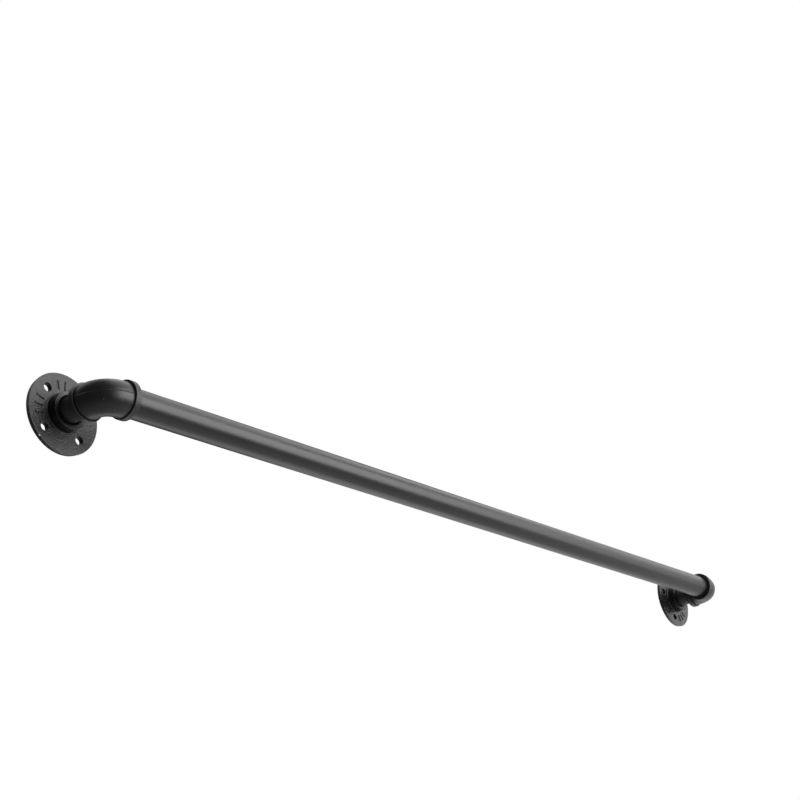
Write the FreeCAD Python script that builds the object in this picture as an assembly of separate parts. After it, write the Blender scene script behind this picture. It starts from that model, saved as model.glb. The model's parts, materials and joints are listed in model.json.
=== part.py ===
import FreeCAD, Part
import math
import os

# Curtain rod built from pipe parts: one round tube between two elbows, each elbow carried by a short
# nipple that screws into a round wall flange. A threaded plug in each end of the tube holds its elbow.
# Millimetres. The wall is the plane Y = 0 and the room is at Y < 0. X runs along the rod, from the axis
# of the left flange, and +Z is up. The rod's axis lies at Z = 0.

# ---- driving dimensions -----------------------------------------------------------------------------

# rod tube
TUBE_LENGTH = 950.0
TUBE_DIAMETER = 25.4
TUBE_WALL = 1.2
TUBE_END_CHAMFER = 0.3

# half-inch pipe thread, turned here as rings so that a joint can turn at any angle
THREAD_DIAMETER = 20.8          # over the crests of a male thread
THREAD_PITCH = 1.814
THREAD_DEPTH = 0.9
THREAD_CREST = 0.3              # flat left on each crest
THREAD_CLEARANCE = 0.08         # radial gap between male and female crests
THREAD_ENGAGEMENT = 10.0        # how far a male thread enters its fitting
THREAD_RUNOUT = 0.8             # thread cut past the male tip
THREAD_LEAD = 1.0               # chamfer on a male tip

# wall flange
PLATE_THICKNESS = 4.1
RIM_DRAFT = 0.65                # how much wider the rim is in front than at the back
PLATE_EDGE_RADIUS = 0.4
HUB_HEIGHT = 13.2               # wall to the hub's face
HUB_WALL = 4.82                 # metal outside the thread
HUB_BASE_FILLET = 1.0
HUB_EDGE_RADIUS = 0.7
HUB_MOUTH_CHAMFER = 2.47
HUB_BACK_CHAMFER = 1.0
SCREW_FROM_HUB = 8.45           # hub's side to a screw hole's axis
RIM_FROM_SCREW = 10.35          # screw hole's axis to the rim's front edge
SCREW_HOLE_DIAMETER = 7.0
SCREW_COUNT = 4
LEFT_SCREW_ANGLE = 38.5         # first hole, degrees from +X towards +Z
RIGHT_SCREW_ANGLE = 165.5

# raised bars cast on the plate, in the two sectors that follow the first screw hole
BAR_LENGTH = 8.0
BAR_WIDTH = 1.6
BAR_HEIGHT = 0.8
BAR_SINK = 0.3                  # depth that a bar shares with the plate
BAR_COUNT = 3                   # in each marked sector
BAR_STEP_ANGLE = 16.0
MARKED_SECTORS = 2

# elbow
ELBOW_WALL = 3.62               # metal outside the thread
CROTCH_RADIUS = 0.8             # inside corner of the bend
BAND_RISE = 1.5                 # band's height over the body
BAND_WIDTH = 5.7
BAND_EDGE_RADIUS = 0.6
WATERWAY_DIAMETER = 18.0
ELBOW_MOUTH_CHAMFER = 1.2
TIP_GAP = 1.9                   # from the plug's tip to the nipple's side
SEAT_DEPTH = 2.1                # tube's end inside the elbow's mouth
SEAT_CLEARANCE = 0.1            # radial gap round the tube
SEAT_END_GAP = 0.1              # gap behind the tube's end

# nipple
NECK_EXPOSED = 14.3             # plain stretch between hub and elbow
NECK_SHOULDER = 0.25            # plain stretch's height over the thread crests
NECK_BORE = 16.0

# end plug
PLUG_DEPTH = 22.0               # inside the tube
PLUG_BORE = 10.0
PLUG_CLEARANCE = 0.05           # radial gap to the tube
PLUG_LEAD = 1.0                 # chamfer on the end inside the tube

# ---- sizes that follow ------------------------------------------------------------------------------

MALE_CREST_RADIUS = THREAD_DIAMETER / 2
MALE_ROOT_RADIUS = MALE_CREST_RADIUS - THREAD_DEPTH
FEMALE_CREST_RADIUS = MALE_CREST_RADIUS + THREAD_CLEARANCE
FEMALE_ROOT_RADIUS = FEMALE_CREST_RADIUS + THREAD_DEPTH

TUBE_RADIUS = TUBE_DIAMETER / 2
TUBE_BORE_RADIUS = TUBE_RADIUS - TUBE_WALL

HUB_RADIUS = FEMALE_ROOT_RADIUS + HUB_WALL
SCREW_CIRCLE_RADIUS = HUB_RADIUS + SCREW_FROM_HUB
PLATE_RADIUS = SCREW_CIRCLE_RADIUS + RIM_FROM_SCREW

ELBOW_BODY_RADIUS = FEMALE_ROOT_RADIUS + ELBOW_WALL
ELBOW_BEND_RADIUS = ELBOW_BODY_RADIUS + CROTCH_RADIUS
ELBOW_BAND_RADIUS = ELBOW_BODY_RADIUS + BAND_RISE
ELBOW_REACH = MALE_CREST_RADIUS + TIP_GAP + THREAD_ENGAGEMENT + SEAT_DEPTH

NECK_RADIUS = MALE_CREST_RADIUS + NECK_SHOULDER
ROD_FROM_WALL = HUB_HEIGHT + NECK_EXPOSED + ELBOW_REACH
TUBE_START = ELBOW_REACH - SEAT_DEPTH
FLANGE_SPACING = TUBE_LENGTH + 2 * TUBE_START

CUT_OVERRUN = 1.0               # how far a cutting tool passes a face it goes through

ORIGIN = FreeCAD.Vector(0, 0, 0)
X_AXIS = FreeCAD.Vector(1, 0, 0)
Y_AXIS = FreeCAD.Vector(0, 1, 0)
Z_AXIS = FreeCAD.Vector(0, 0, 1)
LEFT_ELBOW_CENTRE = FreeCAD.Vector(0, -ROD_FROM_WALL, 0)
RIGHT_ELBOW_CENTRE = FreeCAD.Vector(FLANGE_SPACING, -ROD_FROM_WALL, 0)
RIGHT_FLANGE_CENTRE = FreeCAD.Vector(FLANGE_SPACING, 0, 0)


# ---- turning ----------------------------------------------------------------------------------------

def outline_edges(corners):
    """Edges of a closed outline. A corner is (along, radius) or (along, radius, rounding)."""
    spots = [FreeCAD.Vector(corner[0], 0, corner[1]) for corner in corners]
    roundings = [corner[2] if len(corner) > 2 else 0.0 for corner in corners]
    arcs = []
    for index, spot in enumerate(spots):
        rounding = roundings[index]
        if rounding == 0.0:
            arcs.append((spot, None, spot))
            continue
        before = (spots[index - 1] - spot).normalize()
        after = (spots[(index + 1) % len(spots)] - spot).normalize()
        half_angle = before.getAngle(after) / 2
        tangent = rounding / math.tan(half_angle)
        inwards = (before + after).normalize()
        middle = spot + inwards * (rounding / math.sin(half_angle) - rounding)
        arcs.append((spot + before * tangent, middle, spot + after * tangent))
    edges = []
    for index, (start, middle, end) in enumerate(arcs):
        if middle is not None:
            edges.append(Part.Arc(start, middle, end).toShape())
        next_start = arcs[(index + 1) % len(arcs)][0]
        edges.append(Part.LineSegment(end, next_start).toShape())
    return edges


def turned(corners):
    """Solid turned about the X axis from an outline of corners."""
    face = Part.Face(Part.Wire(outline_edges(corners)))
    return face.revolve(ORIGIN, X_AXIS, 360)


def thread_rings(start, end, crest_radius, depth):
    """Corners of ring grooves cut from crest_radius by depth (outwards if positive), start to end."""
    direction = 1 if end > start else -1
    count = int(abs(end - start) / THREAD_PITCH)
    corners = []
    for ring in range(count):
        crest = start + direction * ring * THREAD_PITCH
        corners.append((crest, crest_radius))
        corners.append((crest + direction * THREAD_CREST, crest_radius))
        corners.append((crest + direction * (THREAD_CREST + THREAD_PITCH) / 2, crest_radius + depth))
    corners.append((start + direction * count * THREAD_PITCH, crest_radius))
    return corners


# ---- parts ------------------------------------------------------------------------------------------

def make_tube():
    """Plain round tube whose two ends sit in the elbows' mouths."""
    return turned([
        (0, TUBE_BORE_RADIUS),
        (0, TUBE_RADIUS - TUBE_END_CHAMFER),
        (TUBE_END_CHAMFER, TUBE_RADIUS),
        (TUBE_LENGTH - TUBE_END_CHAMFER, TUBE_RADIUS),
        (TUBE_LENGTH, TUBE_RADIUS - TUBE_END_CHAMFER),
        (TUBE_LENGTH, TUBE_BORE_RADIUS),
    ])


def make_end_plug():
    """Plug for the tube's left end: a plain shank inside the tube and a threaded nose towards -X."""
    shank_radius = TUBE_BORE_RADIUS - PLUG_CLEARANCE
    lead_start = -THREAD_ENGAGEMENT + THREAD_LEAD
    corners = [
        (PLUG_DEPTH, PLUG_BORE / 2),
        (PLUG_DEPTH, shank_radius - PLUG_LEAD),
        (PLUG_DEPTH - PLUG_LEAD, shank_radius),
        (0, shank_radius),
    ]
    corners += thread_rings(0, lead_start, MALE_CREST_RADIUS, -THREAD_DEPTH)
    corners += [
        (lead_start, MALE_CREST_RADIUS),
        (-THREAD_ENGAGEMENT, MALE_CREST_RADIUS - THREAD_LEAD),
        (-THREAD_ENGAGEMENT, PLUG_BORE / 2),
    ]
    return turned(corners)


def make_nipple():
    """Short pipe, threaded at both ends. It runs from 0, in the flange, to its end in the elbow."""
    neck_start = THREAD_ENGAGEMENT
    neck_end = neck_start + NECK_EXPOSED
    length = neck_end + THREAD_ENGAGEMENT
    bore_radius = NECK_BORE / 2
    corners = [
        (0, bore_radius),
        (0, MALE_CREST_RADIUS - THREAD_LEAD),
        (THREAD_LEAD, MALE_CREST_RADIUS),
    ]
    corners += reversed(thread_rings(neck_start, THREAD_LEAD, MALE_CREST_RADIUS, -THREAD_DEPTH))
    corners += [(neck_start, NECK_RADIUS), (neck_end, NECK_RADIUS)]
    corners += thread_rings(neck_end, length - THREAD_LEAD, MALE_CREST_RADIUS, -THREAD_DEPTH)
    corners += [
        (length - THREAD_LEAD, MALE_CREST_RADIUS),
        (length, MALE_CREST_RADIUS - THREAD_LEAD),
        (length, bore_radius),
    ]
    return turned(corners)


def make_raised_bars():
    """Short radial bars on the plate's front face, three in each marked sector."""
    sector = 360 / SCREW_COUNT
    bars = []
    for sector_index in range(MARKED_SECTORS):
        middle_angle = sector * (sector_index + 0.5)
        for bar_index in range(BAR_COUNT):
            bar = Part.makeBox(
                BAR_HEIGHT + BAR_SINK, BAR_WIDTH, BAR_LENGTH,
                FreeCAD.Vector(PLATE_THICKNESS - BAR_SINK, -BAR_WIDTH / 2, SCREW_CIRCLE_RADIUS - BAR_LENGTH / 2),
            )
            offset = BAR_STEP_ANGLE * (bar_index - (BAR_COUNT - 1) / 2)
            bar.rotate(ORIGIN, X_AXIS, middle_angle + offset)
            bars.append(bar)
    return bars


def make_flange(first_hole_angle):
    """Wall flange round the X axis, its back on X = 0, then laid against the wall with its hub out."""
    thread_end = HUB_HEIGHT - HUB_MOUTH_CHAMFER
    corners = [
        (0, FEMALE_CREST_RADIUS + HUB_BACK_CHAMFER),
        (0, PLATE_RADIUS - RIM_DRAFT),
        (PLATE_THICKNESS, PLATE_RADIUS, PLATE_EDGE_RADIUS),
        (PLATE_THICKNESS, HUB_RADIUS, HUB_BASE_FILLET),
        (HUB_HEIGHT, HUB_RADIUS, HUB_EDGE_RADIUS),
        (HUB_HEIGHT, FEMALE_CREST_RADIUS + HUB_MOUTH_CHAMFER),
    ]
    corners += thread_rings(thread_end, HUB_BACK_CHAMFER, FEMALE_CREST_RADIUS, THREAD_DEPTH)
    corners.append((HUB_BACK_CHAMFER, FEMALE_CREST_RADIUS))
    flange = turned(corners)
    flange = flange.fuse(make_raised_bars()).removeSplitter()
    for hole_index in range(SCREW_COUNT):
        hole = Part.makeCylinder(
            SCREW_HOLE_DIAMETER / 2, PLATE_THICKNESS + 2 * CUT_OVERRUN,
            FreeCAD.Vector(-CUT_OVERRUN, 0, SCREW_CIRCLE_RADIUS), X_AXIS,
        )
        hole.rotate(ORIGIN, X_AXIS, 360 * hole_index / SCREW_COUNT)
        flange = flange.cut(hole)
    # Its axis is laid along Y, hub towards the room. The first hole is then straight up, at 90 degrees.
    flange.rotate(ORIGIN, Z_AXIS, -90)
    flange.rotate(ORIGIN, Y_AXIS, 90 - first_hole_angle)
    return flange


def elbow_bend(radius):
    """Quarter bend of a round bar, from the leg along +Y to the leg along +X."""
    section = Part.Wire(Part.makeCircle(radius, FreeCAD.Vector(0, ELBOW_BEND_RADIUS, 0), Y_AXIS))
    bend_centre = FreeCAD.Vector(ELBOW_BEND_RADIUS, ELBOW_BEND_RADIUS, 0)
    return Part.Face(section).revolve(bend_centre, Z_AXIS, 90)


def leg_bar(radius, end):
    """Round bar along +X, from the end of the bend."""
    return Part.makeCylinder(radius, end - ELBOW_BEND_RADIUS, FreeCAD.Vector(ELBOW_BEND_RADIUS, 0, 0), X_AXIS)


def leg_band():
    """Thicker band round the mouth of a leg along +X."""
    band_start = ELBOW_REACH - BAND_WIDTH
    return turned([
        (band_start, 0),
        (band_start, ELBOW_BAND_RADIUS, BAND_EDGE_RADIUS),
        (ELBOW_REACH, ELBOW_BAND_RADIUS, BAND_EDGE_RADIUS),
        (ELBOW_REACH, 0),
    ])


def threaded_hole(thread_start, mouth_corners):
    """Cutting tool for a threaded hole along +X: its mouth, then rings in to the thread's end."""
    thread_end = thread_start - THREAD_ENGAGEMENT - THREAD_RUNOUT
    corners = [(ELBOW_REACH + CUT_OVERRUN, 0)]
    corners += mouth_corners
    corners += thread_rings(thread_start, thread_end, FEMALE_CREST_RADIUS, THREAD_DEPTH)
    corners += [(thread_end, FEMALE_CREST_RADIUS), (thread_end, 0)]
    return turned(corners)


def make_elbow():
    """Cast elbow round its centre: the tube's leg along +X and the nipple's leg along +Y."""
    seat_radius = TUBE_RADIUS + SEAT_CLEARANCE
    seat_floor = TUBE_START - SEAT_END_GAP
    tube_hole = threaded_hole(seat_floor, [
        (ELBOW_REACH + CUT_OVERRUN, seat_radius),
        (seat_floor, seat_radius),
    ])
    mouth_radius = FEMALE_CREST_RADIUS + ELBOW_MOUTH_CHAMFER
    nipple_hole = threaded_hole(ELBOW_REACH - ELBOW_MOUTH_CHAMFER, [
        (ELBOW_REACH + CUT_OVERRUN, mouth_radius),
        (ELBOW_REACH, mouth_radius),
    ])
    nipple_hole.rotate(ORIGIN, Z_AXIS, 90)

    outside = [elbow_bend(ELBOW_BODY_RADIUS)]
    inside = [elbow_bend(WATERWAY_DIAMETER / 2), tube_hole, nipple_hole]
    for turn in (0, 90):
        for solids, pieces in (
            (outside, [leg_bar(ELBOW_BODY_RADIUS, ELBOW_REACH - BAND_WIDTH / 2), leg_band()]),
            (inside, [leg_bar(WATERWAY_DIAMETER / 2, ELBOW_REACH)]),
        ):
            for piece in pieces:
                piece.rotate(ORIGIN, Z_AXIS, turn)
                solids.append(piece)
    return outside[0].fuse(outside[1:]).removeSplitter().cut(inside)


# ---- placing and writing ----------------------------------------------------------------------------

def moved(shape, offset):
    """Copy of a shape, moved by offset."""
    copy = shape.copy()
    copy.translate(offset)
    return copy


def turned_round(shape):
    """Copy of a shape for the rod's right end: turned half round the Y axis."""
    copy = shape.copy()
    copy.rotate(ORIGIN, Y_AXIS, 180)
    return copy


def make_parts():
    """All the parts, at their places, by name."""
    elbow = make_elbow()
    nipple = make_nipple()
    nipple.rotate(ORIGIN, Z_AXIS, -90)
    nipple.translate(FreeCAD.Vector(0, THREAD_ENGAGEMENT - HUB_HEIGHT, 0))
    plug = make_end_plug()
    plug.translate(FreeCAD.Vector(TUBE_START, 0, 0))
    return {
        "rod_tube": moved(make_tube(), LEFT_ELBOW_CENTRE + X_AXIS * TUBE_START),
        "left_end_plug": moved(plug, LEFT_ELBOW_CENTRE),
        "right_end_plug": moved(turned_round(plug), RIGHT_ELBOW_CENTRE),
        "left_elbow": moved(elbow, LEFT_ELBOW_CENTRE),
        "right_elbow": moved(turned_round(elbow), RIGHT_ELBOW_CENTRE),
        "left_nipple": nipple,
        "right_nipple": moved(nipple, RIGHT_FLANGE_CENTRE),
        "left_flange": make_flange(LEFT_SCREW_ANGLE),
        "right_flange": moved(make_flange(RIGHT_SCREW_ANGLE), RIGHT_FLANGE_CENTRE),
    }


os.makedirs("parts", exist_ok=True)
for name, shape in make_parts().items():
    shape.exportStep(os.path.join("parts", name + ".step"))
    solids = shape.Solids
    print(name, "solids", len(solids), "valid", shape.isValid(), "volume", round(shape.Volume, 1))
print("flange spacing", round(FLANGE_SPACING, 2), "rod from wall", round(ROD_FROM_WALL, 2))
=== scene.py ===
"""Visual model of a curtain rod made of pipe parts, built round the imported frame.

A round tube runs between two cast elbows. Each elbow is carried by a short nipple that screws into a round
wall flange. X runs along the rod, the wall is the plane Y = 0 with the room at Y < 0, and +Z is up. All sizes
are in metres.
"""

import json
import logging
import math
from dataclasses import dataclass, field
from enum import Enum
from typing import Callable, Iterable, Sequence, Union

import bpy
from mathutils import Matrix, Vector


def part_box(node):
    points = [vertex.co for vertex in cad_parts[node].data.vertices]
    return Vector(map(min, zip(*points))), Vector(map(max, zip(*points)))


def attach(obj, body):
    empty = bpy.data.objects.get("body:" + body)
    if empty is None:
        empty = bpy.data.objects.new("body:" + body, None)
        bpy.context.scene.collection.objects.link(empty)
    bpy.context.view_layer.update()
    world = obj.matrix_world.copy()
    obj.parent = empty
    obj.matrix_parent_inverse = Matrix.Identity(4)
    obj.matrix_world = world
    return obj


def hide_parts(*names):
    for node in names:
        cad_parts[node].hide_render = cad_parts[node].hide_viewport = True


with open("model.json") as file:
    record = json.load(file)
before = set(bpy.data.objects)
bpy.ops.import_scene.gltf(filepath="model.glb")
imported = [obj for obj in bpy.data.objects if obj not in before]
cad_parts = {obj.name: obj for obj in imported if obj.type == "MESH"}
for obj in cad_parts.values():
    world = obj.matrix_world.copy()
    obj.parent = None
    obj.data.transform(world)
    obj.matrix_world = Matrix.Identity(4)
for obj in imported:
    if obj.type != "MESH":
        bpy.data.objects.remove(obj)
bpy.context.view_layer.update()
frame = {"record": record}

log = logging.getLogger("curtain_rod")

MM = 0.001
ORIGIN = Vector((0.0, 0.0, 0.0))
X_AXIS = Vector((1.0, 0.0, 0.0))
Y_AXIS = Vector((0.0, 1.0, 0.0))
Z_AXIS = Vector((0.0, 0.0, 1.0))
QUARTER_TURN = 90.0
PLANE_TOLERANCE = 0.01 * MM
ROUND_TOLERANCE = 0.02 * MM
SKIN_TOLERANCE = 0.1 * MM


class Side(Enum):
    """The rod's two ends, as seen from the room."""

    LEFT = "left"
    RIGHT = "right"


# ---- edit-mode helpers ----


def deselect_everything() -> None:
    """Leaves object mode with nothing selected."""
    if bpy.context.mode != "OBJECT":
        bpy.ops.object.mode_set(mode="OBJECT")
    bpy.ops.object.select_all(action="DESELECT")


def make_active(piece: bpy.types.Object) -> None:
    """Selects one object alone and makes it active."""
    deselect_everything()
    piece.select_set(True)
    bpy.context.view_layer.objects.active = piece


def name_piece(piece: bpy.types.Object, name: str) -> bpy.types.Object:
    """Gives an object and its mesh the same name."""
    piece.name = name
    piece.data.name = name
    return piece


def edit_vertices(piece: bpy.types.Object, test: Callable[[Vector], bool]) -> int:
    """Enters edit mode with only some vertices selected.

    Args:
        piece: The mesh object.
        test: Says from a vertex's place whether it is selected.

    Returns:
        How many vertices are selected.
    """
    make_active(piece)
    mesh = piece.data
    for elements in (mesh.polygons, mesh.edges, mesh.vertices):
        for element in elements:
            element.select = False
    chosen = [vertex for vertex in mesh.vertices if test(vertex.co)]
    for vertex in chosen:
        vertex.select = True
    bpy.ops.object.mode_set(mode="EDIT")
    bpy.ops.mesh.select_mode(type="VERT")
    return len(chosen)


def leave_edit_mode() -> None:
    """Goes back to object mode."""
    bpy.ops.object.mode_set(mode="OBJECT")


def apply_place(piece: bpy.types.Object) -> None:
    """Puts an object's place, turn and scale into its mesh."""
    make_active(piece)
    bpy.ops.object.transform_apply(location=True, rotation=True, scale=True)


def copy_piece(piece: bpy.types.Object, name: str, place: Matrix) -> bpy.types.Object:
    """Copies a finished piece, with a mesh of its own, to another place.

    Args:
        piece: The piece to copy.
        name: The copy's name.
        place: Where the copy goes, from the piece's own place.

    Returns:
        The copy, at the origin with its place in its mesh.
    """
    copy = piece.copy()
    copy.data = piece.data.copy()
    bpy.context.scene.collection.objects.link(copy)
    name_piece(copy, name)
    copy.matrix_world = place
    apply_place(copy)
    return copy


def join_pieces(pieces: Sequence[bpy.types.Object]) -> bpy.types.Object:
    """Joins objects into the first of them and returns it."""
    make_active(pieces[0])
    for piece in pieces[1:]:
        piece.select_set(True)
    if len(pieces) > 1:
        bpy.ops.object.join()
    return pieces[0]


def boolean(piece: bpy.types.Object, tool: bpy.types.Object, operation: str) -> None:
    """Cuts or joins a tool's solid with a piece and removes the tool.

    Args:
        piece: The piece that is changed.
        tool: The closed mesh to cut with or to join on.
        operation: The modifier's operation, DIFFERENCE or UNION.
    """
    make_active(piece)
    modifier = piece.modifiers.new("combine", "BOOLEAN")
    modifier.object = tool
    modifier.operation = operation
    modifier.solver = "EXACT"
    bpy.ops.object.modifier_apply(modifier=modifier.name)
    make_active(tool)
    bpy.ops.object.delete()


def smooth(piece: bpy.types.Object, angle: float = 32.0) -> None:
    """Shades a piece smooth where its faces meet at less than an angle in degrees."""
    make_active(piece)
    bpy.ops.object.shade_smooth_by_angle(angle=math.radians(angle))


# ---- ring by ring modelling ----


@dataclass(frozen=True)
class Corner:
    """A corner of a turned outline: its place along the axis, its radius and how far it is rounded."""

    along: float
    radius: float
    rounding: float = 0.0


ARC_STEPS = 5
SUPPORT_GAP = 0.25 * MM
RING_SEGMENTS = 128
SAME_RING = 1e-9
WELD_DISTANCE = 1e-6


def rounded_rings(corners: Sequence[Corner], closed: bool) -> list[tuple[float, float]]:
    """Works out the rings of an outline, with arcs at its rounded corners.

    Args:
        corners: The outline's corners in order.
        closed: Whether the last corner joins the first.

    Returns:
        Rings as (along, radius). Beside each arc is one more ring, which keeps the flat beside it flat.
    """
    rings: list[tuple[float, float]] = []
    count = len(corners)
    for index, corner in enumerate(corners):
        spot = Vector((corner.along, corner.radius))
        at_open_end = not closed and index in (0, count - 1)
        if corner.rounding == 0.0 or at_open_end:
            rings.append(tuple(spot))
            continue
        to_before = Vector((corners[index - 1].along, corners[index - 1].radius)) - spot
        following = corners[(index + 1) % count]
        to_after = Vector((following.along, following.radius)) - spot
        before, after = to_before.normalized(), to_after.normalized()
        half_angle = before.angle(after) / 2
        tangent = corner.rounding / math.tan(half_angle)
        centre = spot + (before + after).normalized() * (corner.rounding / math.sin(half_angle))
        arc_start = spot + before * tangent
        arc_end = spot + after * tangent
        if to_before.length > tangent + 2 * SUPPORT_GAP:
            rings.append(tuple(arc_start + before * SUPPORT_GAP))
        for step in range(ARC_STEPS + 1):
            share = step / ARC_STEPS
            arm = (arc_start - centre).slerp(arc_end - centre, share)
            rings.append(tuple(centre + arm.normalized() * corner.rounding))
        if to_after.length > tangent + 2 * SUPPORT_GAP:
            rings.append(tuple(arc_end + after * SUPPORT_GAP))
    return rings


class RingWalker:
    """Models a round skin in edit mode: one ring of edges is extruded, moved, resized and spun."""

    def __init__(self, name: str, origin: Vector, axis: Vector, start: tuple[float, float],
                 segments: int = RING_SEGMENTS) -> None:
        """Adds the first ring.

        Args:
            name: The piece's name.
            origin: The point that places along the axis are counted from.
            axis: The direction of the axis.
            start: The first ring, as (along, radius).
            segments: How many sides the rings have.
        """
        self.origin = origin.copy()
        self.axis = axis.normalized()
        self.along, self.radius = start
        deselect_everything()
        bpy.ops.mesh.primitive_circle_add(
            vertices=segments, radius=self.radius, fill_type="NOTHING",
            location=self.origin + self.axis * self.along,
            rotation=self.axis.to_track_quat("Z", "Y").to_euler(),
        )
        self.piece = name_piece(bpy.context.active_object, name)
        apply_place(self.piece)
        bpy.ops.object.mode_set(mode="EDIT")
        bpy.ops.mesh.select_mode(type="EDGE")
        bpy.ops.mesh.select_all(action="SELECT")

    def to(self, along: float, radius: float) -> None:
        """Extrudes the ring to another place along the axis and to another radius."""
        centre = self.origin + self.axis * along
        bpy.ops.mesh.extrude_edges_move(
            TRANSFORM_OT_translate={"value": self.axis * (along - self.along)}
        )
        if radius != self.radius:
            share = radius / self.radius
            bpy.ops.transform.resize(value=(share, share, share), center_override=centre)
        self.along, self.radius = along, radius

    def follow(self, rings: Iterable[tuple[float, float]]) -> None:
        """Extrudes through a list of rings, each as (along, radius)."""
        for along, radius in rings:
            if abs(along - self.along) > SAME_RING or abs(radius - self.radius) > SAME_RING:
                self.to(along, radius)

    def bend(self, centre: Vector, angle: float, steps: int) -> None:
        """Spins the ring about a vertical axis through a centre, clockwise from above by degrees."""
        bpy.ops.mesh.spin(
            steps=steps, angle=math.radians(angle), center=centre, axis=Z_AXIS, dupli=False
        )

    def turn_to(self, axis: Vector, along: float) -> None:
        """Counts from here along another axis, after a bend."""
        self.axis = axis.normalized()
        self.along = along

    def close(self) -> bpy.types.Object:
        """Welds the last ring to the first and returns the finished piece."""
        bpy.ops.mesh.select_all(action="SELECT")
        bpy.ops.mesh.remove_doubles(threshold=WELD_DISTANCE)
        bpy.ops.mesh.normals_make_consistent(inside=False)
        leave_edit_mode()
        smooth(self.piece)
        return self.piece


def turned_piece(name: str, origin: Vector, axis: Vector, corners: Sequence[Corner],
                 segments: int = RING_SEGMENTS) -> bpy.types.Object:
    """Models a closed ring-shaped piece from its outline.

    Args:
        name: The piece's name.
        origin: The point that the outline is counted from.
        axis: The piece's axis.
        corners: The closed outline.
        segments: How many sides its rings have.

    Returns:
        The finished piece.
    """
    rings = rounded_rings(corners, closed=True)
    walker = RingWalker(name, origin, axis, rings[0], segments)
    walker.follow(rings[1:])
    walker.follow(rings[:1])
    return walker.close()


# ---- shader maths ----


Operand = Union["Wire", float]


class Wire:
    """An output socket that takes part in Python expressions. Each operator adds a Math node."""

    def __init__(self, shader: "Shader", socket: bpy.types.NodeSocket) -> None:
        """Wraps a socket of a shader's node."""
        self.shader = shader
        self.socket = socket

    def maths(self, operation: str, first: Operand, second: Operand) -> "Wire":
        """Adds a Math node on two operands."""
        return self.shader.node("ShaderNodeMath", {"operation": operation}, {0: first, 1: second})

    def __add__(self, other: Operand) -> "Wire":
        """Adds."""
        return self.maths("ADD", self, other)

    def __sub__(self, other: Operand) -> "Wire":
        """Subtracts."""
        return self.maths("SUBTRACT", self, other)

    def __rsub__(self, other: Operand) -> "Wire":
        """Subtracts, reflected."""
        return self.maths("SUBTRACT", other, self)

    def __mul__(self, other: Operand) -> "Wire":
        """Multiplies."""
        return self.maths("MULTIPLY", self, other)


class Shader:
    """A material's node tree round one Principled surface."""

    def __init__(self, name: str) -> None:
        """Makes an empty material with a Principled surface."""
        self.material = bpy.data.materials.new(name)
        self.material.use_nodes = True
        self.nodes = self.material.node_tree.nodes
        self.links = self.material.node_tree.links
        self.nodes.clear()
        self.output = self.nodes.new("ShaderNodeOutputMaterial")
        self.surface = self.nodes.new("ShaderNodeBsdfPrincipled")
        self.links.new(self.surface.outputs[0], self.output.inputs["Surface"])

    def node(self, kind: str, settings: dict | None = None, inputs: dict | None = None,
             output: Union[int, str] = 0) -> Wire:
        """Adds one node.

        Args:
            kind: The node's type.
            settings: Its settings, set first.
            inputs: Values or wires for its input sockets, by name or number.
            output: The output socket to return.

        Returns:
            The output, as a wire.
        """
        node = self.nodes.new(kind)
        for key, value in (settings or {}).items():
            setattr(node, key, value)
        for key, value in (inputs or {}).items():
            self._feed(node.inputs[key], value)
        return Wire(self, node.outputs[output])

    def feed(self, name: str, value: object) -> None:
        """Sets or links one of the surface's own sockets."""
        self._feed(self.surface.inputs[name], value)

    def place(self, stretch: tuple[float, float, float] = (1.0, 1.0, 1.0)) -> Wire:
        """Object coordinates, stretched by a factor along each axis."""
        coordinates = self.node("ShaderNodeTexCoord", output="Object")
        return self.node("ShaderNodeMapping", {}, {"Vector": coordinates, "Scale": stretch})

    def noise(self, place: Wire, size: float, detail: float = 2.0, roughness: float = 0.5) -> Wire:
        """Noise with features of about a size in metres."""
        return self.node(
            "ShaderNodeTexNoise", {},
            {"Vector": place, "Scale": 1.0 / size, "Detail": detail, "Roughness": roughness},
        )

    def remap(self, value: Wire, low: float, high: float, to_low: float, to_high: float) -> Wire:
        """Maps a range of values to another, held at its ends."""
        return self.node(
            "ShaderNodeMapRange", {"clamp": True},
            {"Value": value, "From Min": low, "From Max": high, "To Min": to_low, "To Max": to_high},
        )

    def mix(self, factor: Operand, first: object, second: object) -> Wire:
        """Mixes two colours."""
        return self.node(
            "ShaderNodeMix", {"data_type": "RGBA"}, {"Factor": factor, 6: first, 7: second}, 2
        )

    def relief(self, height: Wire, depth: float) -> Wire:
        """A bump whose height runs from 0 to depth, in metres."""
        return self.node("ShaderNodeBump", {}, {"Strength": 1.0, "Distance": depth, "Height": height})

    def near(self, place: Wire, point: Vector, inner: float, outer: float) -> Wire:
        """A mask that is 1 within an inner distance of a point and 0 past an outer one."""
        distance = self.node(
            "ShaderNodeVectorMath", {"operation": "DISTANCE"}, {0: place, 1: point}, "Value"
        )
        return self.remap(distance, inner, outer, 1.0, 0.0)

    def off_plane(self, axis: str, level: float) -> Wire:
        """How far a point is from the plane where one of its object coordinates has a level."""
        offset = self.node("ShaderNodeSeparateXYZ", {}, {0: self.place()}, axis) - level
        return offset.maths("ABSOLUTE", offset, 0.0)

    def _feed(self, socket: bpy.types.NodeSocket, value: object) -> None:
        """Links a wire to an input socket, or sets a plain value on it."""
        if isinstance(value, Wire):
            self.links.new(value.socket, socket)
        else:
            socket.default_value = value


def grey(value: float, warmth: float = 0.0) -> tuple[float, float, float, float]:
    """A grey colour, a little warmer or cooler by a share of its value."""
    return (value * (1 + warmth), value, value * (1 - warmth), 1.0)


# ---- finishes ----


# Where most of a noise's values lie, and where its middle values lie.
NOISE_RANGE = (0.3, 0.7)
NOISE_MIDDLE = (0.35, 0.65)


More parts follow.
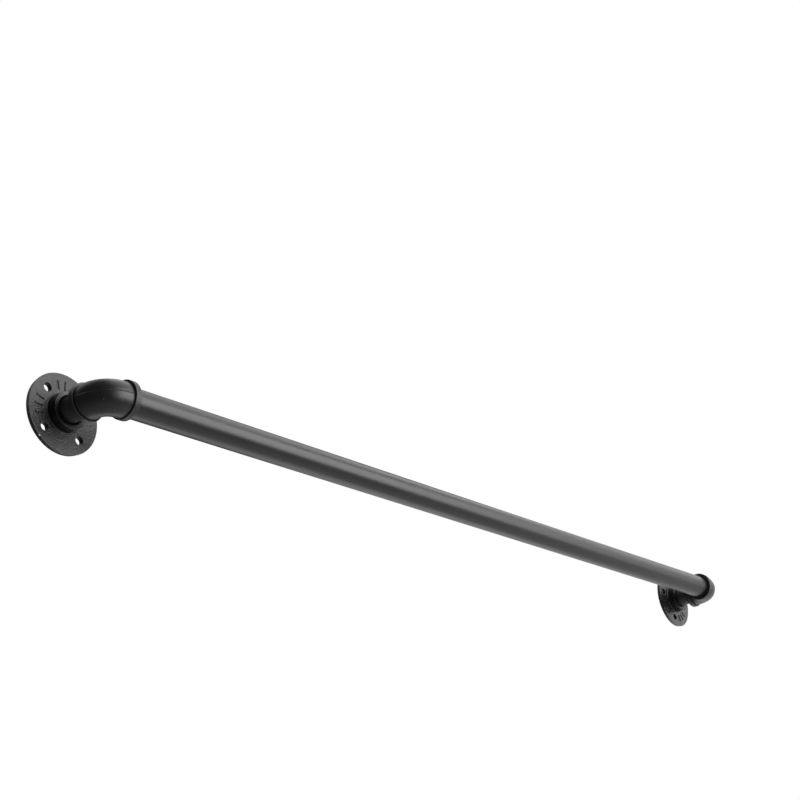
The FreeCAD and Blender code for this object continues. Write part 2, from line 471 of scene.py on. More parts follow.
@dataclass(frozen=True)
class SatinTubeCoat:
    """Satin black powder coat on drawn tube: even, with a fine orange peel and faint draw lines."""

    shade: float = 0.005
    darkest: float = 0.85
    lightest: float = 1.2
    gloss_roughness: float = 0.36
    sheen_change: float = 0.03
    cloud_size: float = 45 * MM
    cloud_share: float = 0.7
    line_size: float = 0.9 * MM
    line_stretch: float = 0.04
    peel_size: float = 1.4 * MM
    peel_depth: float = 0.004 * MM

    def material(self) -> bpy.types.Material:
        """Builds the material."""
        shader = Shader("satin_tube_coat")
        place = shader.place()
        clouds = shader.noise(place, self.cloud_size, detail=3.0)
        lines = shader.noise(shader.place((self.line_stretch, 1.0, 1.0)), self.line_size, detail=2.0)
        peel = shader.noise(place, self.peel_size, detail=1.0)
        blend = clouds * self.cloud_share + lines * (1 - self.cloud_share)
        tone = shader.remap(blend, *NOISE_MIDDLE, 0.0, 1.0)
        dark, light = grey(self.shade * self.darkest), grey(self.shade * self.lightest)
        shader.feed("Base Color", shader.mix(tone, dark, light))
        even_blend = clouds * 0.5 + lines * 0.5
        change = shader.remap(even_blend, *NOISE_RANGE, -self.sheen_change, self.sheen_change)
        shader.feed("Roughness", change + self.gloss_roughness)
        shader.feed("Normal", shader.relief(peel, self.peel_depth))
        return shader.material


@dataclass(frozen=True)
class CastCoat:
    """Black coat over iron: smooth, or coarse where the sand's grain shows through it."""

    name: str
    shade: float = 0.006
    gloss_roughness: float = 0.37
    coarse_shade: float = 0.006
    coarse_roughness: float = 0.37
    mottle: float = 0.2
    cloud_size: float = 14 * MM
    cloud_change: float = 0.2
    sheen_change: float = 0.05
    grains_per_lump: float = 7.0
    grain_size: float = 0.7 * MM
    grain_depth: float = 0.010 * MM
    coarse_depth: float = 0.010 * MM
    lump_depth: float = 0.03 * MM

    def material(self) -> bpy.types.Material:
        """Builds the material."""
        shader = Shader(self.name)
        place = shader.place()
        clouds = shader.noise(place, self.cloud_size, detail=4.0, roughness=0.6)
        grain = shader.noise(place, self.grain_size, detail=2.0, roughness=0.5)
        lumps = shader.noise(place, self.grains_per_lump * self.grain_size, detail=2.0)
        coarse = self.coarse_share(shader)
        tone = shader.remap(clouds, *NOISE_RANGE, 1 - self.cloud_change, 1 + self.cloud_change)
        tone = tone * shader.remap(grain, *NOISE_MIDDLE, 1 - self.mottle, 1 + self.mottle)
        coat = tone * (coarse * (self.coarse_shade - self.shade) + self.shade)
        shader.feed("Base Color", self.worn(shader, place, coat))
        roughness = coarse * (self.coarse_roughness - self.gloss_roughness) + self.gloss_roughness
        change = shader.remap(clouds, *NOISE_RANGE, -self.sheen_change, self.sheen_change)
        shader.feed("Roughness", change + roughness)
        height = grain * (coarse * (self.coarse_depth - self.grain_depth) + self.grain_depth)
        height = height + lumps * self.lump_depth
        shader.feed("Normal", shader.relief(self.lined(shader, height), 1.0))
        return shader.material

    def coarse_share(self, shader: Shader) -> Operand:
        """How coarse the coat is at a point, from 0 to 1."""
        return 0.0

    def worn(self, shader: Shader, place: Wire, coat: Wire) -> Wire:
        """The coat's colour with its worn spots."""
        return coat

    def lined(self, shader: Shader, height: Wire) -> Wire:
        """The coat's relief with the lines of the mould."""
        return height


@dataclass(frozen=True)
class ElbowCoat(CastCoat):
    """Coat of the elbows: coarse on the rod's bands, with a fine line where the mould parted."""

    middle_x: float = 0.0
    band_from_middle: float = 0.0
    band_edge: float = 0.2 * MM
    line_width: float = 0.35 * MM
    line_depth: float = 0.10 * MM

    def coarse_share(self, shader: Shader) -> Operand:
        """Coarse on the bands round the rod's mouths."""
        from_middle = shader.off_plane("X", self.middle_x)
        band_end = self.band_from_middle + self.band_edge
        return shader.remap(from_middle, self.band_from_middle, band_end, 1.0, 0.0)

    def lined(self, shader: Shader, height: Wire) -> Wire:
        """Adds the ridge in the mould's parting plane."""
        ridge = shader.remap(shader.off_plane("Z", 0.0), 0.0, self.line_width, 1.0, 0.0)
        return height + ridge * self.line_depth


@dataclass(frozen=True)
class FlangeCoat(CastCoat):
    """Coat of a wall flange: coarse on the plate; smooth and painted dark on the hub and in the screw holes,
    as painted shade.
    """

    hub: tuple[Vector, float] = (ORIGIN, 0.0)
    holes: tuple[tuple[Vector, float], ...] = ()
    hub_from_wall: float = 2.0 * MM
    shade_zone_edge: float = 0.4 * MM
    chips: tuple[Vector, ...] = ()
    chip_radius: float = 0.9 * MM
    chip_core: float = 0.6
    bare_metal: float = 0.55

    def coarse_share(self, shader: Shader) -> Operand:
        """Coarse outside the hub and the screw holes, which are round zones about axes along Y and get
        painted shade.
        """
        flat_place = shader.place((1.0, 0.0, 1.0))
        hub_start = self.hub_from_wall
        # Inside the hub and screw-hole zones the coat takes its dark smooth shade: painted shade on the hub's
        # side and the hole walls.
        shaded_hub_side = shader.remap(shader.off_plane("Y", 0.0), hub_start, hub_start + self.shade_zone_edge, 0.0, 1.0)
        centre, radius = self.hub
        share = 1.0 - shaded_hub_side * shader.near(flat_place, centre, radius, radius + self.shade_zone_edge)
        for centre, radius in self.holes:
            share = share * (1.0 - shader.near(flat_place, centre, radius, radius + self.shade_zone_edge))
        return share

    def worn(self, shader: Shader, place: Wire, coat: Wire) -> Wire:
        """Shows bare metal where the coat is chipped."""
        for point in self.chips:
            chip = shader.near(place, point, self.chip_core * self.chip_radius, self.chip_radius)
            coat = shader.mix(chip, coat, grey(self.bare_metal))
        return coat


@dataclass(frozen=True)
class PlatedSteel:
    """Zinc-plated turned steel of the plugs hidden in the tube."""

    shade: float = 0.42
    darkest: float = 0.9
    lightest: float = 1.1
    warmth: float = 0.02
    gloss_roughness: float = 0.38
    sheen_change: float = 0.06
    cloud_size: float = 6 * MM
    line_size: float = 0.35 * MM
    line_stretch: float = 0.05
    line_depth: float = 0.006 * MM

    def material(self) -> bpy.types.Material:
        """Builds the material."""
        shader = Shader("plated_steel")
        stretch = (1.0, self.line_stretch, self.line_stretch)
        turning = shader.noise(shader.place(stretch), self.line_size, detail=2.0)
        clouds = shader.noise(shader.place(), self.cloud_size, detail=3.0)
        tone = shader.remap(clouds, *NOISE_MIDDLE, 0.0, 1.0)
        dark = grey(self.shade * self.darkest, self.warmth)
        light = grey(self.shade * self.lightest)
        shader.feed("Base Color", shader.mix(tone, dark, light))
        shader.feed("Metallic", 1.0)
        change = shader.remap(clouds, *NOISE_RANGE, -self.sheen_change, self.sheen_change)
        shader.feed("Roughness", change + self.gloss_roughness)
        shader.feed("Normal", shader.relief(turning, self.line_depth))
        return shader.material


# ---- sizes read from the frame ----


def size_of(node: str) -> Vector:
    """The size of a CAD node's box."""
    low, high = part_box(node)
    return high - low


def middle_of(node: str) -> Vector:
    """The middle of a CAD node's box."""
    low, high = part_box(node)
    return (low + high) / 2


@dataclass(frozen=True)
class PipeThread:
    """Half-inch pipe thread, drawn as rings."""

    crest_radius: float = 10.4 * MM
    pitch: float = 1.814 * MM
    depth: float = 0.9 * MM
    crest_width: float = 0.3 * MM
    clearance: float = 0.08 * MM
    engagement: float = 10.0 * MM
    lead: float = 1.0 * MM

    @property
    def bore_radius(self) -> float:
        """Crest radius of the female thread."""
        return self.crest_radius + self.clearance

    def rings(self, start: float, end: float, radius: float, depth: float) -> list[Corner]:
        """Corners of ring grooves from one place to another, depth outwards from a crest radius."""
        direction = 1 if end > start else -1
        count = int(abs(end - start) / self.pitch)
        corners = []
        for ring in range(count):
            crest = start + direction * ring * self.pitch
            root = crest + direction * (self.crest_width + self.pitch) / 2
            corners.append(Corner(crest, radius))
            corners.append(Corner(crest + direction * self.crest_width, radius))
            corners.append(Corner(root, radius + depth))
        corners.append(Corner(start + direction * count * self.pitch, radius))
        return corners

    def male(self, start: float, end: float) -> list[Corner]:
        """Grooves of a male thread."""
        return self.rings(start, end, self.crest_radius, -self.depth)

    def female(self, start: float, end: float) -> list[Corner]:
        """Grooves of a female thread."""
        return self.rings(start, end, self.bore_radius, self.depth)


@dataclass
class Layout:
    """Places that the pieces share."""

    thread: PipeThread = field(default_factory=PipeThread)
    tube_radius: float = field(init=False)
    elbow_centre: dict[Side, Vector] = field(init=False)
    flange_centre: dict[Side, Vector] = field(init=False)

    def __post_init__(self) -> None:
        """Reads the places from the frame."""
        self.tube_radius = size_of("rod_tube").z / 2
        rod_y = middle_of("rod_tube").y
        self.elbow_centre = {}
        self.flange_centre = {}
        for side in Side:
            flange_x = middle_of(f"{side.value}_flange").x
            self.flange_centre[side] = Vector((flange_x, 0.0, 0.0))
            self.elbow_centre[side] = Vector((flange_x, rod_y, 0.0))

    def right_end_turn(self) -> Matrix:
        """Turns a piece of the left end half round the Y axis and moves it to the right end."""
        shift = self.flange_centre[Side.RIGHT] - self.flange_centre[Side.LEFT]
        return Matrix.Translation(shift) @ Matrix.Rotation(math.pi, 4, "Y")


def dress(piece: bpy.types.Object, material: bpy.types.Material, body: str, node: str) -> None:
    """Gives a finished piece its material and its place in the frame.

    Args:
        piece: The finished piece.
        material: Its material.
        body: The CAD body that it rides on.
        node: The CAD node that it stands for.
    """
    piece.data.materials.clear()
    piece.data.materials.append(material)
    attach(piece, body)
    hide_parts(node)
    log.info("%s: %d faces, rides on %s", piece.name, len(piece.data.polygons), body)


# ---- sub-assemblies ----


@dataclass
class Rod:
    """The tube and the threaded plugs in its two ends."""

    layout: Layout
    wall: float = 1.2 * MM
    end_rounding: float = 0.3 * MM
    plug_clearance: float = 0.05 * MM
    plug_depth: float = 22.0 * MM
    plug_bore_radius: float = 5.0 * MM
    plug_lead: float = 1.0 * MM
    plug_segments: int = 64
    ring_gap: float = 50.0 * MM

    def build(self) -> None:
        """Builds and dresses the tube and both plugs."""
        dress(self.tube(), SatinTubeCoat().material(), "rod", "rod_tube")
        steel = PlatedSteel().material()
        left_plug = self.left_plug()
        right_plug = copy_piece(left_plug, "right_end_plug_turned", self.layout.right_end_turn())
        dress(left_plug, steel, "rod", "left_end_plug")
        dress(right_plug, steel, "rod", "right_end_plug")

    def tube(self) -> bpy.types.Object:
        """Models the tube, with rings along it so that its faces don't get too long."""
        length = size_of("rod_tube").x
        start = middle_of("rod_tube") - X_AXIS * length / 2
        radius = self.layout.tube_radius
        bore_radius = radius - self.wall
        ring_count = int(length / self.ring_gap)
        corners = [Corner(0.0, bore_radius), Corner(0.0, radius, self.end_rounding)]
        corners += [Corner(length * ring / ring_count, radius) for ring in range(1, ring_count)]
        corners += [Corner(length, radius, self.end_rounding), Corner(length, bore_radius)]
        return turned_piece("rod_tube_coated", start, X_AXIS, corners)

    def left_plug(self) -> bpy.types.Object:
        """Models the left plug: a plain shank in the tube and a threaded nose towards the elbow."""
        thread = self.layout.thread
        tube_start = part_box("rod_tube")[0].x
        origin = Vector((tube_start, middle_of("rod_tube").y, 0.0))
        shank_radius = self.layout.tube_radius - self.wall - self.plug_clearance
        tip = -thread.engagement
        corners = [
            Corner(self.plug_depth, self.plug_bore_radius),
            Corner(self.plug_depth, shank_radius - self.plug_lead),
            Corner(self.plug_depth - self.plug_lead, shank_radius),
            Corner(0.0, shank_radius),
        ]
        corners += thread.male(0.0, tip + thread.lead)
        corners += [
            Corner(tip + thread.lead, thread.crest_radius),
            Corner(tip, thread.crest_radius - thread.lead),
            Corner(tip, self.plug_bore_radius),
        ]
        return turned_piece("left_end_plug_turned", origin, X_AXIS, corners, self.plug_segments)


@dataclass
class Elbow:
    """The cast elbows. Both are one casting: the rod's leg along X and the nipple's leg along Y."""

    layout: Layout
    crotch_radius: float = 0.8 * MM
    band_rise: float = 1.5 * MM
    band_width: float = 5.7 * MM
    band_step_rounding: float = 0.35 * MM
    rod_mouth_rounding: float = 0.6 * MM
    nipple_mouth_rounding: float = 1.6 * MM
    mouth_face_width: float = 2.2 * MM
    mouth_rounding: float = 0.3 * MM
    mouth_chamfer: float = 1.2 * MM
    seat_clearance: float = 0.1 * MM
    seat_depth: float = 2.2 * MM
    waterway_gap: float = 0.3 * MM
    bend_steps: int = 36
    parting_height: float = 0.25 * MM
    band_shift: Vector = Vector((0.0, -0.4, 0.4)) * MM
    pimple_angles: tuple[tuple[float, float], ...] = ((46.4, -27.5), (27.6, -57.7))
    pimple_radius: float = 0.7 * MM
    pimple_height: float = 0.5 * MM

    def __post_init__(self) -> None:
        """Reads the elbow's main sizes from the frame."""
        low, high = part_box("left_elbow")
        centre = self.layout.elbow_centre[Side.LEFT]
        self.reach = high.x - centre.x
        self.band_radius = (high.z - low.z) / 2
        self.band_start = self.reach - self.band_width
        self.body_radius = self.band_radius - self.band_rise
        self.bend_radius = self.body_radius + self.crotch_radius
        self.waterway_radius = self.layout.thread.bore_radius + self.waterway_gap
        self.face_middle_radius = self.band_radius - self.mouth_face_width

    def build(self) -> None:
        """Builds and dresses both elbows."""
        left = self.casting("left_elbow_cast")
        self.raise_parting_line(left)
        right = copy_piece(left, "right_elbow_cast", self.layout.right_end_turn())
        self.shift_band(left)
        self.raise_pimples(left)
        middle_x = middle_of("rod_tube").x
        band_x = self.layout.elbow_centre[Side.LEFT].x + self.band_start
        coat = ElbowCoat(
            "elbow_coat", coarse_shade=0.010, coarse_roughness=0.46,
            grain_size=1.3 * MM, coarse_depth=0.30 * MM,
            middle_x=middle_x, band_from_middle=middle_x - band_x,
        ).material()
        dress(left, coat, "left_elbow_body", "left_elbow")
        dress(right, coat, "right_elbow_body", "right_elbow")

    def outside_leg(self, mouth_rounding: float) -> list[tuple[float, float]]:
        """Rings of a leg's outside, from its mouth to the bend."""
        return rounded_rings([
            Corner(self.reach, self.face_middle_radius),
            Corner(self.reach, self.band_radius, mouth_rounding),
            Corner(self.band_start, self.band_radius, self.band_step_rounding),
            Corner(self.band_start, self.body_radius),
            Corner(self.bend_radius, self.body_radius),
        ], closed=False)

    def rod_hole(self) -> list[tuple[float, float]]:
        """Rings of the rod's hole, from the bend out to its mouth."""
        thread = self.layout.thread
        seat_radius = self.layout.tube_radius + self.seat_clearance
        seat_floor = self.reach - self.seat_depth
        threads = thread.female(seat_floor, self.bend_radius)
        corners = [Corner(self.bend_radius, self.waterway_radius)]
        corners += reversed(threads)
        corners += [
            Corner(seat_floor, seat_radius),
            Corner(self.reach, seat_radius, self.mouth_rounding),
            Corner(self.reach, self.face_middle_radius),
        ]
        return rounded_rings(corners, closed=False)

    def nipple_hole(self) -> list[tuple[float, float]]:
        """Rings of the nipple's hole, from its mouth in to the bend."""
        thread = self.layout.thread
        mouth_radius = thread.bore_radius + self.mouth_chamfer
        thread_start = self.reach - self.mouth_chamfer
        corners = [
            Corner(self.reach, self.face_middle_radius),
            Corner(self.reach, mouth_radius, self.mouth_rounding),
        ]
        corners += thread.female(thread_start, self.bend_radius)
        corners.append(Corner(self.bend_radius, self.waterway_radius))
        return rounded_rings(corners, closed=False)

    def casting(self, name: str) -> bpy.types.Object:
        """Models the whole casting as one skin: out of the rod's hole, round the bend and back inside."""
        centre = self.layout.elbow_centre[Side.LEFT]
        bend_centre = centre + Vector((self.bend_radius, self.bend_radius, 0.0))
        rod_hole = self.rod_hole()
        walker = RingWalker(name, centre, X_AXIS, rod_hole[0])
        walker.follow(rod_hole[1:])
        walker.follow(self.outside_leg(self.rod_mouth_rounding))
        walker.bend(bend_centre, QUARTER_TURN, self.bend_steps)
        walker.turn_to(Y_AXIS, self.bend_radius)
        walker.follow(reversed(self.outside_leg(self.nipple_mouth_rounding)))
        walker.follow(self.nipple_hole())
        walker.bend(bend_centre, -QUARTER_TURN, self.bend_steps)
        return walker.close()

    def on_parting_line(self, point: Vector) -> bool:
        """Says whether a vertex lies on the body's skin in the mould's parting plane."""
        spot = point - self.layout.elbow_centre[Side.LEFT]
        if abs(spot.z) > PLANE_TOLERANCE:
            return False
        if spot.x < self.bend_radius and spot.y < self.bend_radius:
            from_bend = math.hypot(spot.x - self.bend_radius, spot.y - self.bend_radius)
            off_line = abs(from_bend - self.bend_radius)
        else:
            off_line = abs(min(spot.x, spot.y))
        return abs(off_line - self.body_radius) < ROUND_TOLERANCE

    def raise_parting_line(self, piece: bpy.types.Object) -> None:
        """Raises the thin line where the two halves of the mould met."""
        count = edit_vertices(piece, self.on_parting_line)
        bpy.ops.transform.shrink_fatten(value=self.parting_height)
        leave_edit_mode()
        log.info("%s: parting line raised at %d vertices", piece.name, count)

    def shift_band(self, piece: bpy.types.Object) -> None:
        """Moves the skin of the left casting's rod band a little, as the mould left it off centre."""
        centre = self.layout.elbow_centre[Side.LEFT]
        inner_radius = self.body_radius + SKIN_TOLERANCE

        def on_band(point: Vector) -> bool:
            along = point.x - centre.x
            from_axis = math.hypot(point.y - centre.y, point.z - centre.z)
            return along > self.band_start - SKIN_TOLERANCE and from_axis > inner_radius

        count = edit_vertices(piece, on_band)
        bpy.ops.transform.translate(value=self.band_shift)
        leave_edit_mode()
        log.info("%s: rod band shifted at %d vertices", piece.name, count)

    def skin_direction(self, bend_angle: float, around: float) -> Vector:
        """The direction straight out of the bend's skin.

        Args:
            bend_angle: Degrees from the rod's leg to the nipple's leg.
            around: Degrees round the bar, from the outside of the bend towards +Z.

        Returns:
            The direction, one long.
        """
        turn, roll = math.radians(bend_angle), math.radians(around)
        return Vector((-math.sin(turn) * math.cos(roll), -math.cos(turn) * math.cos(roll), math.sin(roll)))

    def body_point(self, bend_angle: float, around: float) -> Vector:
        """A point on the bend's skin, by the same angles."""
        turn = math.radians(bend_angle)
        middle = self.layout.elbow_centre[Side.LEFT] + Vector((
            self.bend_radius - self.bend_radius * math.sin(turn),
            self.bend_radius - self.bend_radius * math.cos(turn),
            0.0,
        ))
        return middle + self.skin_direction(bend_angle, around) * self.body_radius

    def raise_pimples(self, piece: bpy.types.Object) -> None:
        """Joins on the left casting's two small pimples, as flattened balls sunk into its skin."""
        for bend_angle, around in self.pimple_angles:
            deselect_everything()
            bpy.ops.mesh.primitive_uv_sphere_add(
                segments=24, ring_count=12, radius=self.pimple_radius,
                location=self.body_point(bend_angle, around),
            )
            ball = bpy.context.active_object
            outwards = self.skin_direction(bend_angle, around)
            ball.rotation_euler = outwards.to_track_quat("Z", "Y").to_euler()
            ball.scale = (1.0, 1.0, self.pimple_height / self.pimple_radius)
            apply_place(ball)
            boolean(piece, ball, "UNION")
        smooth(piece)


@dataclass
class Nipple:
    """The short pipes between elbows and flanges, threaded at both ends."""

    layout: Layout
    bore_radius: float = 8.0 * MM
    shoulder_rounding: float = 0.15 * MM
    hidden_in_hub: float = 2.0 * MM
    hidden_in_elbow: float = 0.8 * MM

    def build(self) -> None:
        """Builds and dresses both nipples."""
        left = self.pipe("left_nipple_turned")
        right = copy_piece(left, "right_nipple_turned", self.layout.right_end_turn())
        coat = CastCoat(
            "nipple_coat", shade=0.030, gloss_roughness=0.50,
            grain_size=0.5 * MM, grain_depth=0.004 * MM, lump_depth=0.01 * MM,
        ).material()
        dress(left, coat, "left_nipple_body", "left_nipple")
        dress(right, coat, "right_nipple_body", "right_nipple")

    def pipe(self, name: str) -> bpy.types.Object:
        """Models the left nipple from its end in the flange to its end in the elbow."""
        thread = self.layout.thread
        low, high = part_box("left_nipple")
        length = high.y - low.y
        neck_radius = (high.z - low.z) / 2
        neck_start = thread.engagement - self.hidden_in_hub
        neck_end = length - thread.engagement + self.hidden_in_elbow
        origin = Vector((self.layout.flange_centre[Side.LEFT].x, high.y, 0.0))
        corners = [
            Corner(0.0, self.bore_radius),
            Corner(0.0, thread.crest_radius - thread.lead),
            Corner(thread.lead, thread.crest_radius),
        ]
        corners += reversed(thread.male(neck_start, thread.lead))
        corners += [
            Corner(neck_start, neck_radius, self.shoulder_rounding),
            Corner(neck_end, neck_radius, self.shoulder_rounding),
        ]
        corners += thread.male(neck_end, length - thread.lead)
        corners += [
            Corner(length - thread.lead, thread.crest_radius),
            Corner(length, thread.crest_radius - thread.lead),
            Corner(length, self.bore_radius),
        ]
        return turned_piece(name, origin, -Y_AXIS, corners)


@dataclass(frozen=True)
class PlateFinish:
    """How the coat lies on one flange's plate."""

    shade: float
    gloss_roughness: float
    mottle: float
    grain_depth: float


@dataclass
class WallFlange:
    """The cast wall flanges: a plate with four screw holes and a threaded hub."""

    layout: Layout
    plate_thickness: float = 4.1 * MM
    rim_draft: float = 0.65 * MM
    back_rounding: float = 0.4 * MM
    front_rounding: float = 0.35 * MM
    hub_radius: float = 16.2 * MM
    hub_fillet: float = 1.0 * MM
    # Share of the hub's fillet that falls in the hub's painted shade zone.
    shaded_fillet_share: float = 0.9
    hub_rounding: float = 0.6 * MM
    mouth_chamfer: float = 2.47 * MM
    mouth_rounding: float = 0.3 * MM
    back_chamfer: float = 1.0 * MM
    screw_draft: float = 0.25 * MM
    screw_front_edge: float = 0.3 * MM
    screw_back_edge: float = 0.1 * MM
    screw_edge_steps: int = 2
    screw_segments: int = 64
    bar_length: float = 8.0 * MM
    bar_width: float = 1.6 * MM
    bar_height: float = 0.8 * MM
    bar_sink: float = 0.5 * MM
    bar_rounding: float = 0.25 * MM
    bar_edge_steps: int = 3
    bar_count: int = 3
    bar_step_angle: float = 16.0
    marked_sectors: int = 2
    chip_place: Vector = Vector((-24.7, -3.8, -24.3)) * MM
    first_hole_angle: dict[Side, float] = field(
        default_factory=lambda: {Side.LEFT: 38.5, Side.RIGHT: 165.5}
    )
    plate_finish: dict[Side, PlateFinish] = field(default_factory=lambda: {
        Side.LEFT: PlateFinish(shade=0.0125, gloss_roughness=0.48, mottle=0.4, grain_depth=0.6 * MM),
        Side.RIGHT: PlateFinish(shade=0.012, gloss_roughness=0.26, mottle=0.8, grain_depth=0.65 * MM),
    })

    def __post_init__(self) -> None:
        """Reads the flange's main sizes from the frame and its record."""
        size = size_of("left_flange")
        self.plate_radius = max(size.x, size.z) / 2
        self.hub_height = size.y
        holes = next(m for m in frame["record"]["mounts"] if m["name"] == "left_wall_holes")["dims"]
        self.screw_circle_radius = holes["pcd_mm"] * MM / 2
        self.screw_hole_radius = holes["hole_r_mm"] * MM
        self.screw_count = holes["count"]

    def build(self) -> None:
        """Builds and dresses both flanges."""
        for side in Side:
            piece = self.casting(f"{side.value}_flange_cast", side)
            dress(
                piece, self.coat(side).material(),
                f"{side.value}_flange_body", f"{side.value}_flange",
            )

    def coat(self, side: Side) -> FlangeCoat:
        """The coat of one side's flange: its hub and screw holes are painted dark, as painted shade. The left
        rim has a chip in it.
        """
        shaded_hub_radius = self.hub_radius + self.shaded_fillet_share * self.hub_fillet
        holes = tuple((centre, self.screw_hole_radius) for centre in self.hole_centres(side))
        finish = self.plate_finish[side]
        # shade=0.003 is painted shade on the hub and in the screw holes; the plate keeps its own finish.
        return FlangeCoat(
            f"{side.value}_flange_coat", shade=0.003, gloss_roughness=0.42,
            coarse_shade=finish.shade, coarse_roughness=finish.gloss_roughness,
            mottle=finish.mottle, grain_size=2.0 * MM, grain_depth=0.05 * MM,
            coarse_depth=finish.grain_depth, lump_depth=0.20 * MM,
            hub=(self.layout.flange_centre[side], shaded_hub_radius), holes=holes,
            chips=(self.chip_place,) if side is Side.LEFT else (),
        )

    def casting(self, name: str, side: Side) -> bpy.types.Object:
        """Models one flange: it is turned, then its bars are raised and its screw holes drilled."""
        thread = self.layout.thread
        corners = [
            Corner(0.0, thread.bore_radius + self.back_chamfer),
            Corner(0.0, self.plate_radius - self.rim_draft, self.back_rounding),
            Corner(self.plate_thickness, self.plate_radius, self.front_rounding),
            Corner(self.plate_thickness, self.hub_radius, self.hub_fillet),
            Corner(self.hub_height, self.hub_radius, self.hub_rounding),
            Corner(self.hub_height, thread.bore_radius + self.mouth_chamfer, self.mouth_rounding),
        ]
        corners += thread.female(self.hub_height - self.mouth_chamfer, self.back_chamfer)
        corners.append(Corner(self.back_chamfer, thread.bore_radius))
        centre = self.layout.flange_centre[side]
        piece = turned_piece(name, centre, -Y_AXIS, corners)
        boolean(piece, self.bars(side), "UNION")
        boolean(piece, self.drills(side), "DIFFERENCE")
        self.ease_screw_holes(piece, side)
        smooth(piece)
        return piece

    def direction(self, side: Side, angle: float) -> Vector:
        """Direction on the plate, by degrees from the first screw hole."""
        turn = math.radians(self.first_hole_angle[side] + angle)
        return Vector((math.cos(turn), 0.0, math.sin(turn)))

    def hole_centres(self, side: Side) -> list[Vector]:
        """Points on the back plane, on the screw holes' axes."""
        step = 360.0 / self.screw_count
        return [
            self.layout.flange_centre[side] + self.direction(side, step * hole) * self.screw_circle_radius
            for hole in range(self.screw_count)
        ]

    def hole_radius(self, from_wall: float) -> float:
        """A screw hole's radius at a distance from the wall: the moulded hole is wider in front."""
        return self.screw_hole_radius + self.screw_draft * (2 * from_wall / self.plate_thickness - 1)

    def drills(self, side: Side) -> bpy.types.Object:
        """Tapered bars through the screw holes, to cut them with."""
        tools = []
        for centre in self.hole_centres(side):
            deselect_everything()
            bpy.ops.mesh.primitive_cone_add(
                vertices=self.screw_segments, radius1=self.hole_radius(-self.plate_thickness),
                radius2=self.hole_radius(2 * self.plate_thickness), depth=3 * self.plate_thickness,
                location=centre - Y_AXIS * self.plate_thickness / 2, rotation=(math.pi / 2, 0.0, 0.0),
            )
            tools.append(bpy.context.active_object)
        return join_pieces(tools)

    def bars(self, side: Side) -> bpy.types.Object:
        """Short rounded bars on the plate's face, as boxes that are sunk into it."""
        sector = 360.0 / self.screw_count
        height = self.bar_height + self.bar_sink
        depth = self.plate_thickness + self.bar_height - height / 2
        tools = []
        for sector_index in range(self.marked_sectors):
            for bar in range(self.bar_count):
                steps_from_middle = bar - (self.bar_count - 1) / 2
                angle = sector * (sector_index + 0.5) + self.bar_step_angle * steps_from_middle
                out = self.direction(side, angle) * self.screw_circle_radius
                middle = self.layout.flange_centre[side] + out
                turn = -math.radians(self.first_hole_angle[side] + angle)
                deselect_everything()
                bpy.ops.mesh.primitive_cube_add(size=1.0)
                box = bpy.context.active_object
                box.matrix_world = (
                    Matrix.Translation(middle - Y_AXIS * depth)
                    @ Matrix.Rotation(turn, 4, "Y")
                    @ Matrix.Diagonal((self.bar_length, height, self.bar_width, 1.0))
                )
                apply_place(box)
                bpy.ops.object.mode_set(mode="EDIT")
                bpy.ops.mesh.select_all(action="SELECT")
                bpy.ops.mesh.bevel(
                    offset=self.bar_rounding, segments=self.bar_edge_steps, affect="EDGES"
                )
                leave_edit_mode()
                tools.append(box)
        return join_pieces(tools)

    def ease_screw_holes(self, piece: bpy.types.Object, side: Side) -> None:
        """Takes the sharp edge off the screw holes, at the wall and then in front."""
        centres = self.hole_centres(side)
        for from_wall, edge in ((0.0, self.screw_back_edge), (self.plate_thickness, self.screw_front_edge)):
            radius = self.hole_radius(from_wall)

            def on_edge(point: Vector) -> bool:
                if abs(point.y + from_wall) > PLANE_TOLERANCE:
                    return False
                return any(
                    abs(math.hypot(point.x - centre.x, point.z - centre.z) - radius) < ROUND_TOLERANCE
                    for centre in centres
                )

            count = edit_vertices(piece, on_edge)
            bpy.ops.mesh.select_mode(use_extend=False, use_expand=False, type="EDGE")
            bpy.ops.mesh.bevel(offset=edge, segments=self.screw_edge_steps, affect="EDGES")
            leave_edit_mode()
            log.info("%s: screw holes eased at %d vertices", piece.name, count)


# ---- studio ----


@dataclass(frozen=True)
class Softbox:
    """A soft rectangular light that looks at a target."""

    name: str
    place: Vector
    target: Vector
    width: float
    height: float
    power: float

    def build(self) -> None:
        """Adds the light, out of the camera's own sight."""
        data = bpy.data.lights.new(self.name, "AREA")
        data.shape = "RECTANGLE"
        data.size = self.width
        data.size_y = self.height
        data.energy = self.power
        light = bpy.data.objects.new(self.name, data)
        light.location = self.place
        light.rotation_euler = (self.target - self.place).to_track_quat("-Z", "Y").to_euler()
        light.visible_camera = False
        bpy.context.scene.collection.objects.link(light)
        log.info("%s: %.0f W", self.name, self.power)


